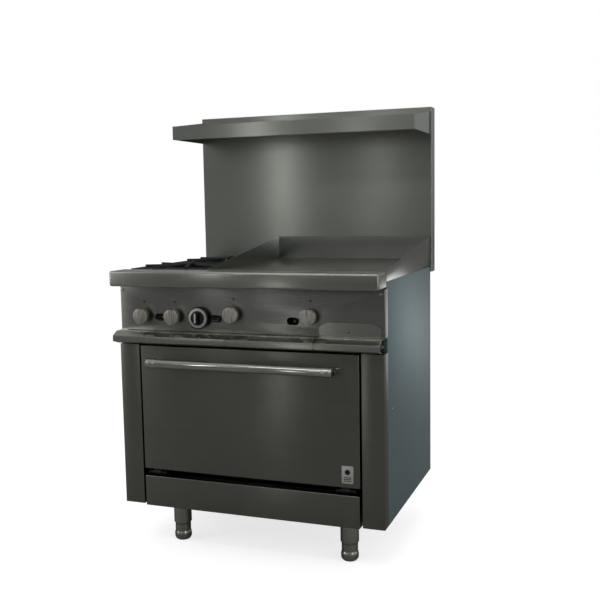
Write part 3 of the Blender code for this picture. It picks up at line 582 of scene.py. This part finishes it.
def makeHandle():
    low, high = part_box("door_handle")
    y, z, end = (low[1] + high[1]) / 2, (low[2] + high[2]) / 2, high[0]
    r = handleLook["radius"]
    sideways = (0, radians(90), 0)
    profile = [(r - 0.002, -end), (r, -end + 0.0005), (r, end - 0.0005), (r - 0.002, end)]
    tube = turnedPiece(profile, (0, y, z), sideways, 64)
    finishPiece(tube, "handle_tube", "oven_door", "chrome plate", ("door_handle",))
    for node, side in (("left_handle_bracket", -1), ("right_handle_bracket", 1)):
        low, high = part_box(node)
        outer = low[0] if side < 0 else high[0]
        collar, length, thick = handleLook["collar"], handleLook["collarLength"], handleLook["plate"]
        shape = [(0.0002, 0), (collar, 0), (collar, 0.006), (collar - 0.0011, 0.007), (collar - 0.0011, 0.0085),
                 (collar, 0.0095), (collar, length - 0.0015), (r + 0.0001, length)]
        ring = turnedPiece(roundedProfile(shape, 0.0008), (outer, y, z), (0, radians(90 if side < 0 else -90), 0), 64)
        inner = outer - side * thick
        foot = high[1]
        arm = block((min(inner, outer), y, z - 0.0125), (max(inner, outer), foot, z + 0.001), 0.0012)
        base = block((min(outer, outer - side * 0.018), foot - 0.003, z - 0.0138),
                     (max(outer, outer - side * 0.018), foot, z + 0.002), 0.001)
        finishPiece(joined([ring, arm, base]), node.replace("bracket", "standoff"), "oven_door",
                    "chrome plate", (node,))


makeHandle()
print("handle made")

# legs: a spun sleeve under a screwed flange, and a foot on a threaded stem
legLook = {"sleeve": 0.0305, "neck": 0.027, "flange": 0.040, "stem": 0.0132, "pitch": 0.0025}


def makeLegs():
    for corner in ("front_left", "front_right", "rear_left", "rear_right"):
        low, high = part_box(corner + "_leg")
        x, y = (low[0] + high[0]) / 2, (low[1] + high[1]) / 2
        shape = [(0.012, low[2]), (legLook["neck"], low[2]), (legLook["neck"] + 0.0003, low[2] + 0.004),
                 (legLook["sleeve"], 0.063), (legLook["sleeve"], high[2] - 0.008),
                 (legLook["flange"], high[2] - 0.005), (legLook["flange"], high[2])]
        sleeve = turnedPiece(roundedProfile(shape, 0.0022, 4), (x, y, 0), sides=72)
        finishPiece(sleeve, corner + "_leg_sleeve", "range_body", "spun stainless", (corner + "_leg",), 30)
        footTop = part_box(corner + "_foot")[1][2]
        seam = low[2] - 0.0005
        shape = [(0.010, 0), (0.022, 0.0), (0.0285, 0.008), (0.0295, 0.018), (0.0290, 0.026), (0.0265, 0.033),
                 (legLook["neck"], 0.040), (legLook["neck"], seam)]
        outline = roundedProfile(shape, 0.003, 4)
        rings = []
        z = seam
        while z < footTop - legLook["pitch"]:
            rings += [(legLook["stem"], z), (legLook["stem"] - 0.0008, z + legLook["pitch"] / 2)]
            z += legLook["pitch"]
        foot = turnedPiece(outline + rings + [(0.006, footTop)], (x, y, 0), sides=72)
        finishPiece(foot, corner + "_foot_spun", corner + "_foot", "spun stainless", (corner + "_foot",), 30)


makeLegs()
print("legs made")

# cast grates: a low frame under eight drafted fingers, which point at the burner
grateLook = {"rim": 0.013, "finger": 0.0105, "centre": 0.034, "deep": 0.013, "step": 0.007}


def makeGrate(node):
    low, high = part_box(node)
    x, y = (low[0] + high[0]) / 2, (low[1] + high[1]) / 2
    halfX, halfY = (high[0] - low[0]) / 2, (high[1] - low[1]) / 2
    rim, top = grateLook["rim"], high[2]
    rimTop = top - grateLook["step"]
    parts = []
    for side in (-1, 1):
        edgeX, edgeY = side * halfX, side * halfY
        parts.append(block((min(edgeX, edgeX - side * rim), -halfY, low[2]),
                           (max(edgeX, edgeX - side * rim), halfY, rimTop), 0.003))
        parts.append(block((-halfX, min(edgeY, edgeY - side * rim), low[2]),
                           (halfX, max(edgeY, edgeY - side * rim), rimTop), 0.003))
    for i in range(8):
        angle = (i + 0.5) * pi / 4
        reach = min((halfX - rim / 3) / abs(cos(angle)), (halfY - rim / 3) / abs(sin(angle)))
        finger = block((grateLook["centre"], -grateLook["finger"] / 2, top - grateLook["deep"]),
                       (reach, grateLook["finger"] / 2, top))
        taper(finger, lambda face: face.normal.z > 0.9, (1, 0.7, 1), (0, 0, top))
        taper(finger, lambda face: face.normal.x < -0.9, (1, 0.8, 0.6), (0, 0, top))
        applyBevel(finger, 0.0022, 3)
        parts.append(placed(finger, (0, 0, 0), (0, 0, angle)))
    # two bars between the sides carry the fingers
    for side in (-1, 1):
        bar = block((-halfX + rim / 2, -0.005, low[2]), (halfX - rim / 2, 0.005, rimTop), 0.0022)
        parts.append(placed(bar, (0, side * halfY * 0.68, 0)))
    grate = placed(joined(parts), (x, y, 0))
    finishPiece(grate, node + "_casting", node, "cast iron", (node,))


makeGrate("front_grate")
makeGrate("rear_grate")

# burner caps: a ported ring under a domed lid, seated on the burner's head, which is the front of its casting
capLook = {"shape": ((0.0002, 0), (0.043, 0), (0.046, 0.004), (0.046, 0.009), (0.044, 0.0105), (0.044, 0.012),
                     (0.050, 0.0135), (0.049, 0.017), (0.030, 0.021), (0.0002, 0.022)), "ports": 28,
           "seat": 0.0155, "portHeight": 0.0065, "depths": {"front_burner": 0.193, "rear_burner": 0.508}}
boxLow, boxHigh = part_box("burner_box")
headX = (boxLow[0] + boxHigh[0]) / 2 - 0.0005
for node, headDepth in capLook["depths"].items():
    headY, seat = frontY + headDepth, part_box(node)[1][2] - capLook["seat"]
    cap = turnedPiece(roundedProfile(capLook["shape"], 0.0012), (headX, headY, seat), sides=64)
    finishPiece(cap, node + "_cap", "range_body", "cast iron")
    # the ports are black discs set in the ring, not holes: painted shade where the holes would be dark
    port = turnedPiece([(0.0016, 0.0440), (0.0016, 0.0466)], turn=(0, radians(90), 0), sides=10)
    ports = [copied(port, (headX, headY, seat + capLook["portHeight"]), (0, 0, 2 * pi * i / capLook["ports"]))
             for i in range(capLook["ports"])]
    bpy.data.objects.remove(port)
    finishPiece(joined(ports), node + "_painted_port_shade", "range_body", "black ink")
print("grates and burners made")

# griddle plate: its sawn edges eased
low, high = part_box("griddle_plate")
finishPiece(block(low, high, 0.0025, 4), "griddle_slab", "range_body", "ground griddle steel",
            ("griddle_plate",))

# oven rack: welded round wire
rackLook = {"frame": 0.0028, "wire": 0.0019, "pitch": 0.026}


def makeRack():
    low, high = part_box("oven_rack")
    r = rackLook["frame"]
    z = (low[2] + high[2]) / 2
    left, right, front, back = low[0] + r, high[0] - r, low[1] + r, high[1] - r
    bend = 0.02
    loop = []
    for cx, cy, start in ((right - bend, back - bend, 0), (left + bend, back - bend, 90),
                          (left + bend, front + bend, 180), (right - bend, front + bend, 270)):
        for step in range(6):
            angle = radians(start + step * 18)
            loop.append((cx + bend * cos(angle), cy + bend * sin(angle), z))
    wires = [tubePiece(loop, r, 12, True)]
    count = int((right - left) / rackLook["pitch"])
    for i in range(1, count):
        x = left + (right - left) * i / count
        wires.append(tubePiece([(x, front, z), (x, back, z)], rackLook["wire"], 8))
    for share in (0.3, 0.7):
        y = front + (back - front) * share
        wires.append(tubePiece([(left, y, z), (right, y, z)], rackLook["frame"] * 0.9, 10))
    finishPiece(joined(wires), "oven_rack_wires", "oven_rack", "chrome plate", ("oven_rack",))


makeRack()

# glass rope seal around the back of the door
gasketLook = {"radius": 0.0042, "depth": 0.0408, "halfWidth": 0.3238, "low": 0.3215, "high": 0.6655, "bend": 0.012}
loop = []
half, bend = gasketLook["halfWidth"], gasketLook["bend"]
for cx, cz, start in ((half - bend, gasketLook["high"] - bend, 0), (-half + bend, gasketLook["high"] - bend, 90),
                      (-half + bend, gasketLook["low"] + bend, 180), (half - bend, gasketLook["low"] + bend, 270)):
    for step in range(6):
        angle = radians(start + step * 18)
        loop.append(at(cx + bend * cos(angle), gasketLook["depth"], cz + bend * sin(angle)))
finishPiece(tubePiece(loop, gasketLook["radius"], 16, True), "door_gasket", "oven_door", "glass rope")
print("oven details made")

# pilot valves behind the three slots of the control panel; their bodies take the dark pipe finish so the slots read
# dark (painted shade)
pilotLook = {"x": (-0.307, -0.1047, 0.161), "z": 0.7957, "depth": 0.021, "radius": 0.0062}
pilots, brassTips = [], []
for x in pilotLook["x"]:
    nut = turnedPiece([(0.0078, 0), (0.0078, 0.005), (0.0066, 0.0058), (pilotLook["radius"], 0.0058),
                       (pilotLook["radius"], 0.0085), (0.0002, 0.0092)],
                      at(x + 0.004, pilotLook["depth"] + 0.0075, pilotLook["z"]), facingFront, 24)
    stem = turnedPiece([(0.0045, 0), (0.0045, 0.020)], at(x + 0.004, 0.0475, pilotLook["z"]), facingFront, 16)
    arm = block(at(x - 0.001, 0.036, 0.776), at(x + 0.009, 0.045, 0.80), 0.001)
    pilots.append(joined([nut, stem, arm]))
    brassTips.append(turnedPiece([(0.0025, 0), (0.0025, 0.0012), (0.0018, 0.0018)],
                                 at(x + 0.004, pilotLook["depth"] - 0.0015, pilotLook["z"]), facingFront, 16))
finishPiece(joined(pilots), "pilot_valves", "range_body", "black steel pipe")
finishPiece(joined(brassTips), "pilot_screws", "range_body", "machined brass")

# screws: pan heads with a round recess, modelled once and copied
screwShape = ((0.0048, 0), (0.0048, 0.0010), (0.0040, 0.0021), (0.0020, 0.0025), (0.0017, 0.0014), (0.0002, 0.0014))


def makeScrews(name, body, places, turn, scale=1.0):
    shape = [(radius * scale, height * scale) for radius, height in screwShape]
    head = turnedPiece(shape, sides=20)
    heads = [copied(head, place, turn) for place in places]
    bpy.data.objects.remove(head)
    finishPiece(joined(heads), name, body, "zinc plated screw")


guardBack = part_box("backguard")[1][1]
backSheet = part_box("back_panel")[1][1]
sunk = 0.0026  # the guard's screws lie in dimples, level with its back
guardPlaces = [(x, guardBack - sunk, z) for x in (-0.44, -0.15, 0.15, 0.44) for z in (0.93, 1.20, 1.47)]
backPlaces = [(x, backSheet, z) for x in (-0.44, -0.22, 0, 0.22, 0.44) for z in (0.175, 0.52)]
backPlaces += [(-0.44, backSheet, 0.87), (0.44, backSheet, 0.87)]
makeScrews("panel_screws", "range_body", [at(x, panelDepth, 0.885) for x in (-0.4485, 0.4453)], facingFront)
makeScrews("trim_screws", "range_body", [at(x, 0.0125, 0.7250) for x in (0.4470, -0.4470)], facingFront)
makeScrews("guard_screws", "range_body", guardPlaces, facingBack)
makeScrews("back_screws", "range_body", backPlaces, facingBack)
sideTurns = {-1: (0, radians(-90), 0), 1: (0, radians(90), 0)}
for side in (-1, 1):
    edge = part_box("right_side_panel")[1][0] * side
    makeScrews("side_screws_" + ("left" if side < 0 else "right"), "range_body",
               [(edge, frontY + depth, z) for depth in (0.09, 0.63) for z in (0.18, 0.52)], sideTurns[side], 0.7)
print("screws made")

# index dots over the knobs, and a black disc on the grease drawer's face
dotLook = {"radius": 0.0033, "proud": 0.0003,
           "places": ((-0.367, 0.847), (-0.2525, 0.847), (-0.0412, 0.861), (0.2203, 0.861))}
dotShape = [(dotLook["radius"], 0), (dotLook["radius"], dotLook["proud"])]
dots = [turnedPiece(dotShape, at(x, panelDepth, z), facingFront, 20) for x, z in dotLook["places"]]
finishPiece(joined(dots), "index_dots", "range_body", "black ink")
plug = turnedPiece([(0.0026, 0), (0.0026, 0.0004)], at(0.3436, 0.0095, 0.7668), facingFront, 20)
finishPiece(plug, "drawer_face_black_disc", "grease_drawer", "black ink")

# a thin bright bead along the top fold of each pull bar, standing in for the highlight there: painted highlight, not
# a rolled edge
highlightBeadLook = {"radius": 0.0012, "inset": 0.001, "depth": -0.0198, "height": 0.7499}
for node in ("left_crumb_tray", "middle_crumb_tray", "grease_drawer"):
    low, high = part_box(node)
    ends = (low[0] + highlightBeadLook["inset"], high[0] - highlightBeadLook["inset"])
    highlightBead = tubePiece([at(x, highlightBeadLook["depth"], highlightBeadLook["height"]) for x in ends], highlightBeadLook["radius"], 12)
    finishPiece(highlightBead, node + "_bar_painted_highlight", node, "painted highlight steel")

# a plain plate on the door, with a border, a dot and three bars for a mark, and no lettering
plateLook = {"left": 0.318, "right": 0.359, "low": 0.294, "high": 0.353, "face": -0.002, "thick": 0.0012,
             "border": 0.0012}


def makePlate():
    left, right, low, high = (plateLook[key] for key in ("left", "right", "low", "high"))
    face, thick, border = plateLook["face"], plateLook["thick"], plateLook["border"]
    plate = block(at(left, face - thick, low), at(right, face, high), 0.0005, 2)
    finishPiece(plate, "door_plate", "oven_door", "pale foil plate")
    front, behind = face - thick - 0.0003, face - thick + 0.0002
    middle = (left + right) / 2
    marks = [block(at(left, front, high - border), at(right, behind, high)),
             block(at(left, front, low), at(right, behind, low + border)),
             block(at(left, front, low), at(left + border, behind, high)),
             block(at(right - border, front, low), at(right, behind, high))]
    marks.append(turnedPiece([(0.0085, 0), (0.0085, 0.0005)], at(middle, behind, high - 0.0215), facingFront, 32))
    for step in range(3):
        z = low + 0.0085 + step * 0.0055
        marks.append(block(at(left + 0.008, front, z), at(right - 0.008, behind, z + 0.0022)))
    finishPiece(joined(marks), "door_plate_marks", "oven_door", "black ink")


makePlate()

# back of the body: hoods over the cooling slots and a union nut on the gas pipe
hoodLook = {"half": 0.052, "proud": 0.006, "low": 0.002, "high": 0.020, "first": -0.375, "pitch": 0.15,
            "perRow": 6, "rows": (0.590, 0.650)}
hood = block((-hoodLook["half"], 0, hoodLook["low"]), (hoodLook["half"], hoodLook["proud"], hoodLook["high"]))
taper(hood, lambda face: face.normal.z > 0.9, (0.96, 0.15, 1), (0, 0, hoodLook["high"]))
applyBevel(hood, 0.0008, 2)
hoods = [copied(hood, (hoodLook["first"] + i * hoodLook["pitch"], backSheet, z)) for z in hoodLook["rows"]
         for i in range(hoodLook["perRow"])]
bpy.data.objects.remove(hood)
finishPiece(joined(hoods), "back_hoods", "range_body", "galvanised sheet")
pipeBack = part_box("gas_manifold")[1][1]
nutLook = {"x": 0.330, "z": 0.770, "fromEnd": 0.024,
           "shape": [(0.0134, 0), (0.019, 0), (0.0215, 0.0015), (0.0215, 0.0165), (0.019, 0.018), (0.0134, 0.018)]}
nut = turnedPiece(nutLook["shape"], (nutLook["x"], pipeBack - nutLook["fromEnd"], nutLook["z"]), facingBack, 6)
finishPiece(nut, "gas_union_nut", "range_body", "black steel pipe", angle=20)
print("back details made")

# studio
deselectAll()
bpy.ops.mesh.primitive_plane_add(size=80, location=(0, 0, -0.0005))
floor = bpy.context.object
floor.name = "studio_floor"
floorPaint, floorTree, floorShader = newMaterial("matt studio floor")
floorShader.inputs["Roughness"].default_value = 0.95
floorShader.inputs["Specular IOR Level"].default_value = 0.1
seen = addNode(floorTree, "ShaderNodeLightPath")
floorTone = addNode(floorTree, "ShaderNodeMix", {"data_type": "RGBA"}, {0: (seen, "Is Camera Ray")})
floorTone.inputs[6].default_value = hexColour("8f8f8d")  # what the steel reflects
floorTone.inputs[7].default_value = hexColour("f7f7f6")
floorGlow = addNode(floorTree, "ShaderNodeMath", {"operation": "MULTIPLY"}, {0: (seen, "Is Camera Ray"), 1: 0.72})
floorTree.links.new(floorTone.outputs[2], floorShader.inputs["Base Color"])
floorTree.links.new(floorGlow.outputs["Value"], floorShader.inputs["Emission Strength"])
floorShader.inputs["Emission Color"].default_value = (1, 1, 1, 1)
floor.data.materials.append(floorPaint)

world = bpy.data.worlds.new("studio air")
bpy.context.scene.world = world
world.use_nodes = True
sky = world.node_tree.nodes["Background"]
skyRay = addNode(world.node_tree, "ShaderNodeLightPath")
skyWay = addNode(world.node_tree, "ShaderNodeTexCoord")
skyParts = addNode(world.node_tree, "ShaderNodeSeparateXYZ", inputs={0: (skyWay, "Generated")})
skyTone = addNode(world.node_tree, "ShaderNodeValToRGB", inputs={"Fac": (skyParts, "Z")})
skyTone.color_ramp.elements[0].position = 0.0
skyTone.color_ramp.elements[0].color = (0.13, 0.135, 0.135, 1)
skyTone.color_ramp.elements[1].position = 0.8
skyTone.color_ramp.elements[1].color = (0.36, 0.36, 0.36, 1)
# the room's back and right walls, which the body's back and side reflect
backWall = addNode(world.node_tree, "ShaderNodeMapRange", inputs={"Value": (skyParts, "Y"), "From Min": 0.3,
                                                                  "From Max": 1.0, "To Max": 0.10})
rightWall = addNode(world.node_tree, "ShaderNodeMapRange", inputs={"Value": (skyParts, "X"), "From Min": 0.45,
                                                                   "From Max": 1.0, "To Max": 0.25})
walls = addNode(world.node_tree, "ShaderNodeMath", {"operation": "ADD"}, {0: (backWall, "Result"),
                                                                          1: (rightWall, "Result")})
skyAll = addNode(world.node_tree, "ShaderNodeVectorMath", {"operation": "ADD"}, {0: (skyTone, "Color"),
                                                                                 1: (walls, "Value")})
skyMix = addNode(world.node_tree, "ShaderNodeMix", {"data_type": "RGBA"}, {0: (skyRay, "Is Camera Ray"),
                                                                           6: (skyAll, "Vector")})
skyMix.inputs[7].default_value = (1, 1, 1, 1)
world.node_tree.links.new(skyMix.outputs[2], sky.inputs["Color"])
sky.inputs["Strength"].default_value = 1.0
bpy.context.scene.view_settings.view_transform = "Standard"

lamps = {
    "overhead softbox": {"place": (0.0, 0.1, 3.4), "aim": (0, 0, 0.6), "size": (3.0, 0.5), "watts": 10},
    "front softbox": {"place": (0.0, -2.3, 3.0), "aim": (0, 0, 0.6), "size": (2.6, 0.3), "watts": 8},
    "left softbox": {"place": (-3.2, -2.4, 1.6), "aim": (0, 0, 0.8), "size": (1.2, 2.4), "watts": 16},
    "back softbox": {"place": (1.45, 3.4, 0.28), "aim": (0.45, 0, 0.8), "size": (1.1, 0.4), "watts": 1.6},
    "right strip": {"place": (2.1, -1.7, 1.0), "aim": (0.1, -0.35, 0.8), "size": (0.25, 1.2), "watts": 3},
    "right fill": {"place": (2.7, 0.2, 0.95), "aim": (0.1, -0.33, 0.8), "size": (0.3, 0.9), "watts": 2.0},
    "upper strip": {"place": (-1.24, -2.5, 1.45), "aim": (-0.12, 0.35, 1.3), "size": (0.08, 0.9), "watts": 0.65},
    "second strip": {"place": (-0.50, -2.5, 1.6), "aim": (0.20, 0.35, 1.3), "size": (0.16, 0.6), "watts": 0.2},
    "lower strip": {"place": (-0.62, -2.5, 0.40), "aim": (0.19, -0.3, 0.5), "size": (0.08, 0.7), "watts": 0.3},
}
for name, lamp in lamps.items():
    light = bpy.data.lights.new(name, "AREA")
    light.shape = "RECTANGLE"
    light.size, light.size_y = lamp["size"]
    light.energy = lamp["watts"]
    holder = bpy.data.objects.new(name, light)
    holder.location = lamp["place"]
    holder.rotation_euler = (Vector(lamp["aim"]) - Vector(lamp["place"])).to_track_quat("-Z", "Y").to_euler()
    holder.visible_camera = False
    bpy.context.scene.collection.objects.link(holder)

view = {"place": (1.1281, -2.84055, 1.1578), "turn": 20.402, "tip": 6.2175, "roll": -0.9934, "lens": 52.54}
camera = bpy.data.objects.new("camera", bpy.data.cameras.new("camera"))
camera.data.lens = view["lens"]
camera.data.sensor_width = 36
camera.location = view["place"]
facing = Euler((radians(90 - view["tip"]), 0, radians(view["turn"]))).to_quaternion()
camera.rotation_mode = "QUATERNION"
camera.rotation_quaternion = facing @ Quaternion((0, 0, 1), radians(view["roll"]))
bpy.context.scene.collection.objects.link(camera)
bpy.context.scene.camera = camera
print("studio ready")
